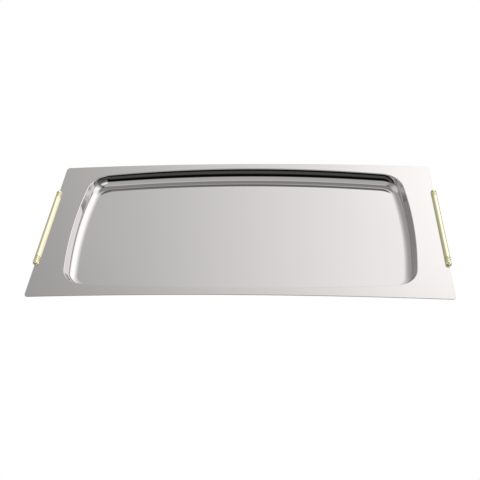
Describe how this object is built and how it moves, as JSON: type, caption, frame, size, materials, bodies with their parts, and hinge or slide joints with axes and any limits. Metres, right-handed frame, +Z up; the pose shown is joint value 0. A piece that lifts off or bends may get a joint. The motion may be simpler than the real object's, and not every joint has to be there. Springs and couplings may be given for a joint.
{
  "type": "serving tray",
  "caption": "Rectangular mirror-polished steel serving tray with an arched rim, a bow-sided sunk well and a slotted brass rod handle along each short edge.",
  "frame": {"origin": "centre of the flat underside of the well's floor, on the table", "axes": "+X along the tray towards the right handle, +Y to the rear long side, +Z up out of the well"},
  "size_m": [0.5056, 0.242, 0.0198],
  "materials": {
    "polished_steel": "polished",
    "polished_brass": "polished",
    "screw_steel": "satin"
  },
  "bodies": {
    "root": {"tray_sheet": "polished_steel", "left_handle_bar": "polished_brass", "left_front_end_cap": "polished_brass", "left_rear_end_cap": "polished_brass", "left_front_set_screw": "screw_steel", "left_rear_set_screw": "screw_steel", "right_handle_bar": "polished_brass", "right_front_end_cap": "polished_brass", "right_rear_end_cap": "polished_brass", "right_front_set_screw": "screw_steel", "right_rear_set_screw": "screw_steel"}
  },
  "joints": []
}
